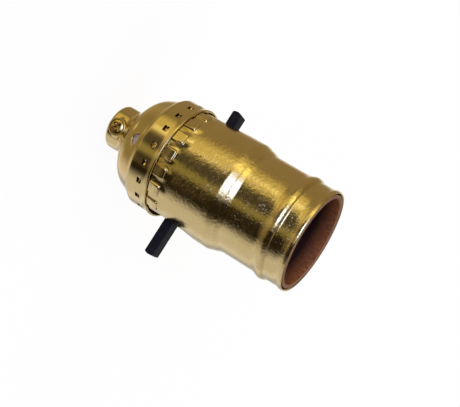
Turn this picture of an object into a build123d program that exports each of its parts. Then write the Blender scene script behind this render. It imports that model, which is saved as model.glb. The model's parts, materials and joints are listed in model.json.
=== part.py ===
from build123d import *
import os
from math import asin, cos, degrees, radians, sin

# Push-through lamp socket with a threaded collar, in millimetres.
# The origin is the centre of the collar's end face. +Z runs along the socket's
# axis to the lamp opening, and the push rod lies along X.

os.makedirs("parts", exist_ok=True)

# Brass sheet of the cap and the shell
sheet = 0.45

# Shell, from the hidden edge in the cap to the lamp opening
shell_taper = 0.45
mouth_step = 1.5
belly_round = 3.9
neck_round = 3.0
shell_end_gap = 1.0
belly_length = 20.85
shoulder_length = 3.9
mouth_length = 23.1
snap_groove_depth = 0.4
snap_lip_length = 0.9
snap_bevel = 0.5
snap_land = 1.4

# Rolled bead near the lamp opening, and the curled rim
bead_from_mouth = 8.6
bead_width = 4.4
bead_height = 0.8
rim_width = 1.9
rim_height = 0.33

# Square pads pressed out of the shell beside the cap
pads_a_side = 7
pad_width = 3.9
pad_length = 4.3
pad_height = 0.6
pad_edge = 0.2
pad_taper = 20
pad_from_skirt = 2.1

# Flats where the push rod leaves the shell
flat_depth = 0.5
flat_above_skirt = 5.5
flat_runout = 12.0
flat_runout_rise = 1.0

# Cap
skirt_gap = 0.35
skirt_height = 8.55
skirt_flare = 0.43
skirt_flare_height = 1.55
crease_step = 1.15
crease_height = 0.95
dome_height = 11.4
dome_corner_in = 2.25
dome_corner_down = 5.7
dome_round = 7.0
collar_length = 6.1
collar_end_round = 1.3
collar_foot_round = 2.5
collar_lip = 0.2

# Windows lanced in the skirt, each with a bridge pressed inwards
window_count = 19
window_first_angle = -88.0
window_width = 1.9
window_height = 1.45
window_below_edge = 3.3
bridge_height = 0.7
bridge_drop = 0.5
bridge_root = 0.15

# Half-moon opening lanced in the dome, above the set screw
half_moon_radius = 2.0
half_moon_below_crease = 1.1
lance_depth = 1.2

# Threaded bushing, for a one-eighth-inch pipe nipple
thread_radius = 4.57
bushing_wall = 2.16
bushing_fit = 0.02
bushing_flange = 1.3
bushing_flange_height = 1.0
bushing_chamfer = 0.4
flange_seat = 0.1

# Set screw in the collar, at one side of the near face
screw_angle = -82.0
screw_below_crown = 2.2
screw_shank_radius = 1.75
screw_head_radius = 2.2
screw_head_height = 1.2
screw_recess_width = 0.6
screw_cross_length = 2.6
screw_recess_depth = 0.7
screw_fit = 0.05
screw_advance = 0.6
screw_point_gap = 0.63
screw_dome = 0.35
boss_gap = 0.2
boss_wall = 0.5
boss_rise = 1.1

# Pressed-board liners
liner_room = 0.7
liner_gap = 0.25
liner_wall = 1.1
liner_below_rim = 0.3
liner_end_gap = 0.6
cap_liner_gap = 0.15
cap_liner_wall = 0.8
cap_liner_hole_gap = 0.5

# Push rod
rod_length = 51.0
rod_travel = 6.6
rod_width = 4.9
rod_thickness = 3.2
rod_above_skirt = 6.95
rod_crown = 0.5
rod_edge = 0.3
rod_fit = 0.15
rod_window_gap = 0.35

# Moulded switch housing and lamp base
housing_gap = 0.35
housing_below_shell = 0.05
housing_length = 20.0
base_thickness = 4.0
base_boss_gap = 1.7
base_boss_height = 1.0
mould_edge = 0.5

# Rocker that carries the switched contact
rocker_arm = 7.0
rocker_thickness = 1.6
rocker_hub_radius = 1.9
rocker_tip_radius = 0.9
rocker_tail_radius = 0.8
rocker_side_gap = 0.3
rocker_mesh = 0.8
notch_gap = 0.4
pin_radius = 0.8
pin_fit = 0.05
pin_seat = 3.0
contact_gap = 0.1
cavity_gap = 0.5

# Brass strips, spring and fibre cover inside the housing
strip = 0.6
plate = 0.8
fit = 0.05
cover_thickness = 1.0
cover_margin = 1.8
cover_round = 0.45
spring_strip = 0.25
spring_gap = 0.1
spring_rise = 0.25
spring_margin = 0.6

# Wiring terminals on both sides of the housing
terminal_depth = 3.6
terminal_width = 8.0
terminal_height = 8.5
terminal_from_end = 1.5
pocket_margin = 1.0
terminal_head_radius = 3.5
terminal_head_height = 1.8
terminal_head_round = 0.45
terminal_shank_radius = 2.05
terminal_shank_length = 3.1
terminal_slot_width = 0.9
terminal_slot_depth = 0.8
blade_width = 2.4
blade_gap = 0.4
strap_width = 3.4
strap_wall = 1.0

# Rivets
rivet_from_wall = 3.96
rivet_radius = 1.2
rivet_head_radius = 2.2
rivet_head_height = 0.7
rivet_head_round = 0.2
centre_rivet_radius = 0.8
centre_rivet_head_radius = 1.4
centre_rivet_head_height = 0.5

# Screw shell for a medium lamp base, and the centre contact
screw_shell_radius = 13.15
screw_shell_sheet = 0.3
screw_shell_length = 20.5
screw_shell_round = 1.0
screw_shell_neck = 0.4
screw_shell_neck_above_contact = 0.3
screw_shell_flare = 0.7
screw_shell_hole_gap = 0.3
contact_sheet = 0.4
contact_width = 4.0
contact_end_gap = 0.4
contact_rise = 2.1
contact_rise_length = 1.1
contact_top_length = 1.9
contact_nose = 0.9

# Radii, from the lamp's screw shell and the pipe thread outwards
liner_inner_radius = screw_shell_radius + screw_shell_flare + liner_room
liner_radius = liner_inner_radius + liner_wall
mouth_radius = liner_radius + liner_gap + sheet
shell_radius = mouth_radius + mouth_step
shell_end_radius = shell_radius - shell_taper
snap_groove_radius = shell_end_radius - snap_groove_depth
flat_x = shell_end_radius - flat_depth
skirt_inner_radius = shell_end_radius + skirt_gap
skirt_radius = skirt_inner_radius + sheet
crease_radius = skirt_radius - crease_step
housing_radius = liner_inner_radius - housing_gap
terminal_floor = housing_radius - terminal_depth
rivet_circle = screw_shell_radius - rivet_from_wall
rivet_reach = rivet_circle * cos(radians(45))
base_boss_radius = rivet_circle - rivet_head_radius - base_boss_gap
contact_end = base_boss_radius - contact_end_gap
centre_rivet_offset = contact_end - centre_rivet_head_radius
bushing_radius = thread_radius + bushing_wall
collar_radius = bushing_radius + bushing_fit + sheet
collar_lip_radius = collar_radius - collar_end_round - collar_lip
boss_inner_radius = screw_head_radius + boss_gap

# Heights along the axis
crown_z = collar_length
crease_z = crown_z + dome_height
skirt_edge_z = crease_z + skirt_height
shell_end_z = crease_z + crease_height + shell_end_gap
belly_top_z = skirt_edge_z + belly_length
shoulder_top_z = belly_top_z + shoulder_length
mouth_z = shoulder_top_z + mouth_length
rod_z = skirt_edge_z + rod_above_skirt
housing_z = shell_end_z - housing_below_shell
base_z = housing_z + housing_length
base_top_z = base_z + base_thickness
boss_top_z = base_top_z + base_boss_height
pad_z = skirt_edge_z + pad_from_skirt
screw_height = collar_length - screw_below_crown

# Switch geometry: the rocker swings as far as the rod's travel needs
swing = degrees(asin(rod_travel / 2 / rocker_arm))
pin_z = rod_z - rod_thickness / 2 + rocker_mesh - rocker_arm
window_slot_width = rod_width + 2 * rod_window_gap
window_slot_top_z = rod_z + rod_thickness / 2 + rod_window_gap
cavity_half_length = rod_travel / 2 + rocker_tip_radius + cavity_gap
cavity_half_width = rocker_thickness / 2 + rocker_side_gap
strap_y = rod_width / 2 + rod_fit + strap_wall
spring_foot_z = housing_z + cover_thickness
spring_z = spring_foot_z + spring_rise
rocker_tail = pin_z - spring_z - spring_strip - spring_gap - rocker_tail_radius
tail_reach = rocker_tail * sin(radians(swing)) + rocker_tail_radius
blade_x = tail_reach + contact_gap
terminal_z = housing_z + terminal_from_end + terminal_height / 2


ON_FLOOR = (Align.CENTER, Align.CENTER, Align.MIN)


def turned(angle, z=0):
    """Location on the axis at height z, turned by angle."""
    return Location((0, 0, z), (0, 0, angle))


def save(piece, label):
    """Label a finished piece and write it."""
    piece.part.label = label
    export_step(piece.part, f"parts/{label}.step")


# Half section of the cap's outside, closed past the axis and past the skirt
past_edge_z = skirt_edge_z + skirt_flare_height
dome_corner = (crease_radius - dome_corner_in, crease_z - dome_corner_down)
cap_corners = [
    ((collar_radius, 0, 0), collar_end_round),
    ((collar_radius, crown_z, 0), collar_foot_round),
    ((*dome_corner, 0), dome_round),
    ((skirt_radius, crease_z + crease_height, 0), crease_height / 2),
]
with BuildSketch() as cap_outside:
    with BuildLine():
        Polyline(
            (-2 * sheet, past_edge_z),
            (-2 * sheet, 0),
            (collar_radius, 0),
            (collar_radius, crown_z),
            dome_corner,
            (crease_radius, crease_z),
            (skirt_radius, crease_z + crease_height),
            (skirt_radius, skirt_edge_z - skirt_flare_height),
            (skirt_radius + 2 * skirt_flare, past_edge_z),
            (-2 * sheet, past_edge_z),
        )
    make_face()
    for corner, radius in cap_corners:
        fillet(cap_outside.vertices().sort_by_distance(corner)[0], radius)


def cap_inset(depth):
    """Half section of the space that lies depth inside the cap's outside."""
    return offset(cap_outside.sketch, amount=-depth, mode=Mode.PRIVATE)


cap_inside = cap_inset(sheet)

# Cap: one drawn sheet with the collar, dome and skirt
with BuildPart() as bridge:
    with BuildSketch(Plane.XY):
        with BuildLine():
            Polyline(
                (skirt_radius - fit, -window_width / 2 - bridge_root),
                (skirt_radius - bridge_drop, -window_width / 4),
                (skirt_radius - bridge_drop, window_width / 4),
                (skirt_radius - fit, window_width / 2 + bridge_root),
                (skirt_inner_radius + fit, window_width / 2 + bridge_root),
                (skirt_inner_radius - bridge_drop, window_width / 4),
                (skirt_inner_radius - bridge_drop, -window_width / 4),
                (skirt_inner_radius + fit, -window_width / 2 - bridge_root),
                close=True,
            )
        make_face()
    extrude(amount=bridge_height / 2, both=True)

screw_plane = Plane(
    origin=(0, 0, screw_height),
    x_dir=(0, 0, 1),
    z_dir=(cos(radians(screw_angle)), sin(radians(screw_angle)), 0),
)
moon_in = half_moon_below_crease * dome_corner_in / dome_corner_down
moon_radius = crease_radius - moon_in
moon_plane = Plane(
    origin=(
        moon_radius * cos(radians(screw_angle)),
        moon_radius * sin(radians(screw_angle)),
        crease_z - half_moon_below_crease,
    ),
    x_dir=(
        dome_corner_in * cos(radians(screw_angle)),
        dome_corner_in * sin(radians(screw_angle)),
        dome_corner_down,
    ),
    z_dir=(
        dome_corner_down * cos(radians(screw_angle)),
        dome_corner_down * sin(radians(screw_angle)),
        -dome_corner_in,
    ),
)
windows_z = skirt_edge_z - window_below_edge

with BuildPart() as cap:
    with BuildSketch(Plane.XZ):
        add(cap_outside.sketch)
        add(cap_inside, mode=Mode.SUBTRACT)
        with Locations((collar_lip_radius, 0)):
            Rectangle(
                skirt_radius,
                skirt_edge_z,
                align=(Align.MIN, Align.MIN),
                mode=Mode.INTERSECT,
            )
    revolve(axis=Axis.Z)
    # The set screw's boss stands out of the collar
    with BuildSketch(screw_plane.offset(collar_radius - sheet / 2)):
        Circle(boss_inner_radius + boss_wall)
    extrude(amount=boss_rise + sheet / 2)
    with BuildSketch(screw_plane.offset(collar_radius - 2 * sheet)):
        Circle(boss_inner_radius)
    extrude(amount=boss_rise + 3 * sheet, mode=Mode.SUBTRACT)
    with BuildSketch(moon_plane):
        Circle(half_moon_radius)
        with Locations((half_moon_radius, 0)):
            Rectangle(
                2 * half_moon_radius, 3 * half_moon_radius, mode=Mode.SUBTRACT
            )
    extrude(amount=lance_depth, both=True, mode=Mode.SUBTRACT)
    with Locations((0, 0, windows_z)):
        with PolarLocations(skirt_radius, window_count, window_first_angle):
            Box(4 * sheet, window_width, window_height, mode=Mode.SUBTRACT)
        with PolarLocations(0, window_count, window_first_angle):
            add(bridge.part)
save(cap, "cap")

# Bushing: turned, with a flange on the inside of the cap's crown
flange_radius = bushing_radius + bushing_flange
flange_line = Edge.make_line((flange_radius, 0), (flange_radius, crease_z))
flange_z = flange_seat + flange_line.intersect(cap_inside).vertices()[0].Y
bushing_end_z = flange_z + bushing_flange_height
with BuildPart() as cap_bushing:
    with BuildSketch(Plane.XZ):
        with BuildLine():
            Polyline(
                (thread_radius + bushing_chamfer, 0),
                (collar_lip_radius - bushing_fit, 0),
                (collar_lip_radius - bushing_fit, sheet + bushing_fit),
                (bushing_radius - collar_end_round, sheet + bushing_fit),
                (bushing_radius, sheet + collar_end_round),
                (bushing_radius, flange_z),
                (flange_radius, flange_z),
                (flange_radius, bushing_end_z),
                (thread_radius + bushing_chamfer, bushing_end_z),
                (thread_radius, bushing_end_z - bushing_chamfer),
                (thread_radius, bushing_chamfer),
                close=True,
            )
        make_face()
    revolve(axis=Axis.Z)
    with BuildSketch(screw_plane):
        Circle(screw_shank_radius + screw_fit)
    extrude(amount=collar_radius, mode=Mode.SUBTRACT)
save(cap_bushing, "cap_bushing")

# Set screw: round head with a cross and a slot, its point clear of the nipple
point_reach = thread_radius + screw_point_gap
head_reach = bushing_radius + screw_advance + screw_fit
with BuildPart() as set_screw:
    with BuildSketch(screw_plane.offset(point_reach)):
        Circle(screw_shank_radius)
    extrude(amount=head_reach - point_reach)
    with BuildSketch(screw_plane.offset(head_reach)):
        Circle(screw_head_radius)
    extrude(amount=screw_head_height)
    fillet(set_screw.faces().sort_by(SortBy.DISTANCE)[-1].edges(), screw_dome)
    with BuildSketch(screw_plane.offset(head_reach + screw_head_height)):
        Rectangle(screw_recess_width, 3 * screw_head_radius)
        Rectangle(screw_cross_length, screw_recess_width)
    extrude(amount=-screw_recess_depth, mode=Mode.SUBTRACT)
save(set_screw, "set_screw")

# Fibre liner in the cap's dome
with BuildPart() as cap_liner:
    with BuildSketch(Plane.XZ):
        add(cap_inset(sheet + cap_liner_gap))
        add(cap_inset(sheet + cap_liner_gap + cap_liner_wall), mode=Mode.SUBTRACT)
        with Locations((flange_radius + cap_liner_hole_gap, 0)):
            Rectangle(
                skirt_radius,
                crease_z,
                align=(Align.MIN, Align.MIN),
                mode=Mode.INTERSECT,
            )
    revolve(axis=Axis.Z)
save(cap_liner, "cap_liner")


# Shell: a stepped sheet tube with a bead, pads, flats and two open slots
def shell_form(inset, over):
    """Solid of the shell's outside, drawn in by inset and longer by over."""
    end = shell_end_radius - inset
    belly = shell_radius - inset
    mouth = mouth_radius - inset
    groove = snap_groove_radius - inset
    land_z = skirt_edge_z - snap_land
    lip_z = shell_end_z + snap_lip_length
    bead_z = mouth_z - bead_from_mouth
    bead_low = (mouth, bead_z - bead_width / 2)
    bead_high = (mouth, bead_z + bead_width / 2)
    rim_low = (mouth, mouth_z - rim_width)
    with BuildPart() as form:
        with BuildSketch(Plane.XZ):
            with BuildLine():
                Polyline(
                    (0, mouth_z),
                    (0, shell_end_z - over),
                    (end, shell_end_z - over),
                    (end, lip_z),
                    (groove, lip_z + snap_bevel),
                    (groove, land_z - snap_bevel),
                    (end, land_z),
                    (end, skirt_edge_z),
                )
                FilletPolyline(
                    (end, skirt_edge_z),
                    (belly, belly_top_z),
                    (mouth, shoulder_top_z),
                    bead_low,
                    radius=(belly_round, neck_round),
                )
                ThreePointArc(bead_low, (mouth + bead_height, bead_z), bead_high)
                Line(bead_high, rim_low)
                ThreePointArc(
                    rim_low,
                    (mouth + rim_height, mouth_z - rim_width / 2),
                    (mouth + rim_height / 2, mouth_z),
                )
                Line((mouth + rim_height / 2, mouth_z), (0, mouth_z))
            make_face()
        revolve(axis=Axis.Z)
        with Locations((0, 0, mouth_z)):
            Cylinder(mouth + rim_height / 2, over, align=ON_FLOOR)
        with BuildSketch(Plane.XZ):
            with BuildLine():
                foot = (flat_x - inset, shell_end_z - over - sheet)
                knee = (flat_x - inset, skirt_edge_z + flat_above_skirt)
                head = (knee[0] + flat_runout_rise, knee[1] + flat_runout)
                Line(foot, knee)
                TangentArc(knee, head, tangent=(0, 1))
                Polyline(head, (2 * belly, head[1]), (2 * belly, foot[1]), foot)
            make_face()
            mirror(about=Plane.YZ)
        extrude(amount=belly, both=True, mode=Mode.SUBTRACT)
    return form.part


def pad_form(inset):
    """Tapered block of one pad, its top drawn in by inset."""
    top = shell_end_radius + shell_taper * pad_from_skirt / belly_length + pad_height
    with BuildPart() as form:
        with BuildSketch(Plane.YZ.offset(top - inset)):
            Rectangle(pad_width - 2 * pad_edge - inset, pad_length - 2 * pad_edge - inset)
        extrude(amount=-2 * pad_height, taper=-pad_taper)
    return form.part


shell_outside = shell_form(0, 0)
shell_inside = shell_form(sheet, 1)
pad_outside = pad_form(0)
pad_inside = pad_form(sheet)
pad_step = 360 / window_count
pad_angles = [
    side + (i - (pads_a_side - 1) / 2) * pad_step
    for side in (window_first_angle, window_first_angle + 180)
    for i in range(pads_a_side)
]

with BuildPart() as shell:
    add(shell_outside)
    with Locations([turned(angle, pad_z) for angle in pad_angles]):
        add(pad_outside)
    add(shell_inside, mode=Mode.SUBTRACT)
    with Locations([turned(angle, pad_z) for angle in pad_angles]):
        add(pad_inside, mode=Mode.SUBTRACT)
    with BuildSketch(Plane.YZ) as rod_window:
        with Locations((0, window_slot_top_z)):
            Rectangle(
                window_slot_width,
                2 * window_slot_top_z,
                align=(Align.CENTER, Align.MAX),
            )
        fillet(rod_window.vertices().group_by(Axis.Z)[-1], rod_window_gap)
    extrude(amount=2 * shell_radius, both=True, mode=Mode.SUBTRACT)
save(shell, "shell")

# Paper liner in the shell, slotted for the rod
with BuildPart() as shell_liner:
    with BuildSketch(Plane.XY.offset(shell_end_z + liner_end_gap)):
        Circle(liner_radius)
        Circle(liner_inner_radius, mode=Mode.SUBTRACT)
    extrude(amount=mouth_z - liner_below_rim - shell_end_z - liner_end_gap)
    with BuildSketch(Plane.YZ):
        with Locations((0, window_slot_top_z)):
            Rectangle(
                window_slot_width,
                2 * window_slot_top_z,
                align=(Align.CENTER, Align.MAX),
            )
    extrude(amount=2 * shell_radius, both=True, mode=Mode.SUBTRACT)
save(shell_liner, "shell_liner")

# Switch housing: moulded, with the rod's channel, the rocker's cavity, the
# terminal pockets and seats for the strips and rivets
rivet_spots = [(-rivet_reach, -rivet_reach), (rivet_reach, rivet_reach)]
pocket_height = terminal_from_end + terminal_height + pocket_margin
channel_z = rod_z - rod_thickness / 2 - rod_fit
cover_length = 2 * (cavity_half_length + cover_margin)
cover_width = 2 * (cavity_half_width + cover_margin)
blade_foot_z = spring_z + spring_strip + blade_gap
blade_top_z = blade_foot_z + blade_width
pin_end = strap_y + strip + fit
tongue_end = rivet_reach - rivet_head_radius
lead_foot_z = pin_z - 2 * pin_radius
lead_end = centre_rivet_offset + centre_rivet_head_radius


def side_pocket(side, reach, low, high, bottom, top):
    """Cut a pocket open to one side of the housing, from low to high along X."""
    with Locations(((low + high) / 2, side * reach, bottom)):
        Box(
            high - low,
            housing_radius,
            top - bottom,
            align=(Align.CENTER, Align.MIN if side > 0 else Align.MAX, Align.MIN),
            mode=Mode.SUBTRACT,
        )


with BuildPart() as switch_housing:
    with Locations((0, 0, housing_z)):
        Cylinder(housing_radius, housing_length, align=ON_FLOOR)
    chamfer(switch_housing.edges().group_by(Axis.Z)[0], mould_edge)
    # Channel for the rod
    with Locations((0, 0, rod_z)):
        Box(
            3 * housing_radius,
            rod_width + 2 * rod_fit,
            rod_thickness + 2 * rod_fit,
            mode=Mode.SUBTRACT,
        )
    # Cavity for the rocker, and the recess for its cover
    with Locations((0, 0, housing_z)):
        Box(
            2 * cavity_half_length,
            2 * cavity_half_width,
            channel_z - housing_z + rod_fit,
            align=ON_FLOOR,
            mode=Mode.SUBTRACT,
        )
        Box(
            cover_length + 2 * fit,
            cover_width + 2 * fit,
            cover_thickness,
            align=ON_FLOOR,
            mode=Mode.SUBTRACT,
        )
    # Pockets for the terminals, and the groove of the neutral strap
    pocket_side = terminal_width / 2 + pocket_margin
    pocket_top_z = housing_z + pocket_height
    side_pocket(-1, terminal_floor, -pocket_side, pocket_side, housing_z, pocket_top_z)
    side_pocket(
        1,
        terminal_floor,
        -pocket_side,
        rivet_reach + strap_width / 2 + fit,
        housing_z,
        pocket_top_z,
    )
    side_pocket(
        1,
        terminal_floor,
        rivet_reach - strap_width / 2 - fit,
        rivet_reach + strap_width / 2 + fit,
        housing_z,
        base_z,
    )
    # Holes for the terminal screws, and the longer one that the pin goes in by
    for side in (-1, 1):
        with BuildSketch(Plane.XZ.offset(-side * terminal_floor)):
            with Locations((0, terminal_z)):
                Circle(terminal_shank_radius + fit)
        extrude(amount=side * terminal_shank_length, mode=Mode.SUBTRACT)
    with BuildSketch(Plane.XZ.offset(terminal_floor)):
        with Locations((0, pin_z)):
            Circle(pin_radius + fit / 2)
    extrude(amount=-terminal_floor - pin_end - fit, mode=Mode.SUBTRACT)
    # Slot for the hot blade, open at the cap's end
    with Locations((blade_x + strip / 2, cavity_half_width, housing_z)):
        Box(
            strip + 2 * fit,
            terminal_floor + cavity_half_width + fit,
            blade_top_z + fit - housing_z,
            align=(Align.CENTER, Align.MAX, Align.MIN),
            mode=Mode.SUBTRACT,
        )
    # Seat and slot for the centre lead
    with Locations((-lead_end - fit, -contact_width / 2 - fit, base_z)):
        Box(
            lead_end + contact_width / 2 + 2 * fit,
            strap_y + strip + contact_width / 2 + 2 * fit,
            strip + fit,
            align=(Align.MIN, Align.MIN, Align.MAX),
            mode=Mode.SUBTRACT,
        )
    with Locations((0, strap_y - fit, base_z)):
        Box(
            contact_width + 2 * fit,
            strip + 2 * fit,
            base_z - lead_foot_z + fit,
            align=(Align.CENTER, Align.MIN, Align.MAX),
            mode=Mode.SUBTRACT,
        )
    # Seat for the neutral strap's tongue
    with Locations((rivet_reach, tongue_end - fit, base_z)):
        Box(
            strap_width + 2 * fit,
            housing_radius,
            plate + fit,
            align=(Align.CENTER, Align.MIN, Align.MAX),
            mode=Mode.SUBTRACT,
        )
    # Holes for the long rivets, and room for the centre rivet's head
    with Locations([(*spot, housing_z) for spot in rivet_spots]):
        Cylinder(
            rivet_radius + fit, housing_length, align=ON_FLOOR, mode=Mode.SUBTRACT
        )
    with Locations((-centre_rivet_offset, 0, base_z)):
        Cylinder(
            centre_rivet_head_radius + fit,
            strip + centre_rivet_head_height + 2 * fit,
            align=(Align.CENTER, Align.CENTER, Align.MAX),
            mode=Mode.SUBTRACT,
        )
save(switch_housing, "switch_housing")

# Fibre cover that closes the cavity
with BuildPart() as housing_cover:
    with BuildSketch(Plane.XY.offset(housing_z)):
        RectangleRounded(cover_length, cover_width, cover_round)
    extrude(amount=cover_thickness)
save(housing_cover, "housing_cover")

# Lamp base: moulded disc with a boss for the centre contact
with BuildPart() as lamp_base:
    with Locations((0, 0, base_z)):
        Cylinder(housing_radius, base_thickness, align=ON_FLOOR)
    chamfer(lamp_base.edges().group_by(Axis.Z)[-1], mould_edge)
    with Locations((0, 0, base_top_z)):
        Cylinder(base_boss_radius, base_boss_height, align=ON_FLOOR)
    with Locations([(*spot, base_z) for spot in rivet_spots]):
        Cylinder(
            rivet_radius + fit, base_thickness, align=ON_FLOOR, mode=Mode.SUBTRACT
        )
    with Locations((-centre_rivet_offset, 0, base_z)):
        Cylinder(
            centre_rivet_radius + fit,
            base_thickness + base_boss_height,
            align=ON_FLOOR,
            mode=Mode.SUBTRACT,
        )
save(lamp_base, "lamp_base")

# Screw shell: a drawn cup with a hole round the base's boss, a plain neck up to
# the contact's top and a flared rim
with BuildPart() as screw_shell:
    with BuildSketch(Plane.XZ):
        with BuildLine():
            neck_radius = screw_shell_radius - screw_shell_neck
            neck_z = boss_top_z + contact_rise + contact_sheet
            neck_z = neck_z + screw_shell_neck_above_contact
            wall_high = (
                screw_shell_radius,
                base_top_z + screw_shell_length - screw_shell_flare,
            )
            FilletPolyline(
                (base_boss_radius + screw_shell_hole_gap, base_top_z),
                (neck_radius, base_top_z),
                (neck_radius, neck_z),
                (screw_shell_radius, neck_z + screw_shell_neck),
                wall_high,
                (
                    screw_shell_radius + screw_shell_flare,
                    base_top_z + screw_shell_length,
                ),
                radius=(
                    screw_shell_round,
                    screw_shell_neck / 2,
                    screw_shell_neck,
                    screw_shell_flare / 2,
                ),
            )
            offset(amount=screw_shell_sheet, side=Side.LEFT)
        make_face()
    revolve(axis=Axis.Z)
    with Locations([(*spot, base_top_z) for spot in rivet_spots]):
        Cylinder(
            rivet_radius + fit,
            2 * screw_shell_sheet,
            mode=Mode.SUBTRACT,
        )
save(screw_shell, "screw_shell")

# Centre contact: a sprung tongue riveted to the boss
with BuildPart() as centre_contact:
    with BuildSketch(Plane.XZ):
        with BuildLine():
            rise_x = -centre_rivet_offset + centre_rivet_head_radius + contact_sheet
            top_x = rise_x + contact_rise_length
            top_z = boss_top_z + contact_rise
            FilletPolyline(
                (-contact_end, boss_top_z),
                (rise_x, boss_top_z),
                (top_x, top_z),
                (top_x + contact_top_length, top_z),
                (top_x + contact_top_length + contact_nose, top_z - contact_nose),
                radius=contact_sheet,
            )
            offset(amount=contact_sheet, side=Side.LEFT)
        make_face()
    extrude(amount=contact_width / 2, both=True)
    with Locations((-centre_rivet_offset, 0, boss_top_z)):
        Cylinder(
            centre_rivet_radius + fit, 2 * contact_sheet + fit, mode=Mode.SUBTRACT
        )
save(centre_contact, "centre_contact")


def rivet(spot, radius, head_radius, head_height, low, high, label):
    """Round rivet with a flat head at each end, clamping from low to high."""
    with BuildPart() as body:
        with Locations((*spot, low - head_height)):
            Cylinder(head_radius, head_height, align=ON_FLOOR)
            Cylinder(radius, high - low + 2 * head_height, align=ON_FLOOR)
        with Locations((*spot, high)):
            Cylinder(head_radius, head_height, align=ON_FLOOR)
        fillet(body.edges().group_by(Axis.Z)[-1], rivet_head_round)
    save(body, label)


# Rivets: one at the centre contact, two through the housing and the base
rivet(
    (-centre_rivet_offset, 0),
    centre_rivet_radius,
    centre_rivet_head_radius,
    centre_rivet_head_height,
    base_z - strip,
    boss_top_z + contact_sheet,
    "centre_rivet",
)
for number, spot in enumerate(rivet_spots, start=1):
    rivet(
        spot,
        rivet_radius,
        rivet_head_radius,
        rivet_head_height,
        housing_z,
        base_top_z + screw_shell_sheet,
        f"housing_rivet_{number}",
    )

# Centre lead: a strip from the centre rivet down to the rocker's pin
with BuildPart() as centre_lead:
    with Locations((-lead_end, -contact_width / 2, base_z)):
        Box(
            lead_end + contact_width / 2,
            strap_y + strip + contact_width / 2,
            strip,
            align=(Align.MIN, Align.MIN, Align.MAX),
        )
    with Locations((0, strap_y, base_z)):
        Box(
            contact_width,
            strip,
            base_z - lead_foot_z,
            align=(Align.CENTER, Align.MIN, Align.MAX),
        )
    with Locations((-centre_rivet_offset, 0, base_z)):
        Cylinder(centre_rivet_radius + fit, 3 * strip, mode=Mode.SUBTRACT)
    with BuildSketch(Plane.XZ.offset(-strap_y)):
        with Locations((0, pin_z)):
            Circle(pin_radius + fit / 2)
    extrude(amount=-2 * strip, mode=Mode.SUBTRACT)
save(centre_lead, "centre_lead")


def terminal_plate(side):
    """Flat terminal plate in its pocket."""
    with Locations((0, side * terminal_floor, terminal_z)):
        Box(
            terminal_width,
            plate,
            terminal_height,
            align=(Align.CENTER, Align.MIN if side > 0 else Align.MAX, Align.CENTER),
        )


def terminal_hole(side):
    """Clearance hole for the terminal screw's shank."""
    with Locations(Location((0, side * terminal_floor, terminal_z), (90, 0, 0))):
        Cylinder(terminal_shank_radius + fit, 4 * plate, mode=Mode.SUBTRACT)


# Hot terminal: its blade runs in to the cavity as the fixed contact
with BuildPart() as hot_terminal:
    terminal_plate(-1)
    with Locations((blade_x, cavity_half_width - fit, blade_foot_z)):
        Box(
            strip,
            terminal_floor + cavity_half_width - fit,
            blade_width,
            align=(Align.MIN, Align.MAX, Align.MIN),
        )
    terminal_hole(-1)
save(hot_terminal, "hot_terminal")

# Neutral terminal: its strap goes up to the screw shell's rivet
with BuildPart() as neutral_terminal:
    terminal_plate(1)
    strap_low_z = terminal_z + terminal_head_radius
    with Locations((rivet_reach + strap_width / 2, terminal_floor, strap_low_z)):
        Box(
            rivet_reach + strap_width / 2,
            plate,
            terminal_z + terminal_height / 2 - strap_low_z,
            align=(Align.MAX, Align.MIN, Align.MIN),
        )
    with Locations((rivet_reach, terminal_floor, strap_low_z)):
        Box(
            strap_width,
            plate,
            base_z - strap_low_z,
            align=(Align.CENTER, Align.MIN, Align.MIN),
        )
    with Locations((rivet_reach, terminal_floor + plate, base_z)):
        Box(
            strap_width,
            terminal_floor + plate - tongue_end,
            plate,
            align=(Align.CENTER, Align.MAX, Align.MAX),
        )
    with Locations((*rivet_spots[1], base_z)):
        Cylinder(rivet_radius + fit, 3 * plate, mode=Mode.SUBTRACT)
    terminal_hole(1)
save(neutral_terminal, "neutral_terminal")


# Terminal screws with slotted binding heads
def terminal_screw(side, label):
    """Screw from one side into the housing, its head on the plate."""
    outward = Plane(
        origin=(0, side * (terminal_floor + plate), terminal_z),
        x_dir=(1, 0, 0),
        z_dir=(0, side, 0),
    )
    with BuildPart() as body:
        with BuildSketch(outward):
            Circle(terminal_head_radius)
        extrude(amount=terminal_head_height)
        head_edges = body.faces().sort_by(Axis.Y)[0 if side < 0 else -1].edges()
        fillet(head_edges, terminal_head_round)
        with BuildSketch(outward):
            Circle(terminal_shank_radius)
        extrude(amount=-terminal_shank_length - plate + fit)
        with BuildSketch(outward.offset(terminal_head_height)):
            Rectangle(3 * terminal_head_radius, terminal_slot_width)
        extrude(amount=-terminal_slot_depth, mode=Mode.SUBTRACT)
    save(body, label)


terminal_screw(-1, "hot_terminal_screw")
terminal_screw(1, "neutral_terminal_screw")

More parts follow.
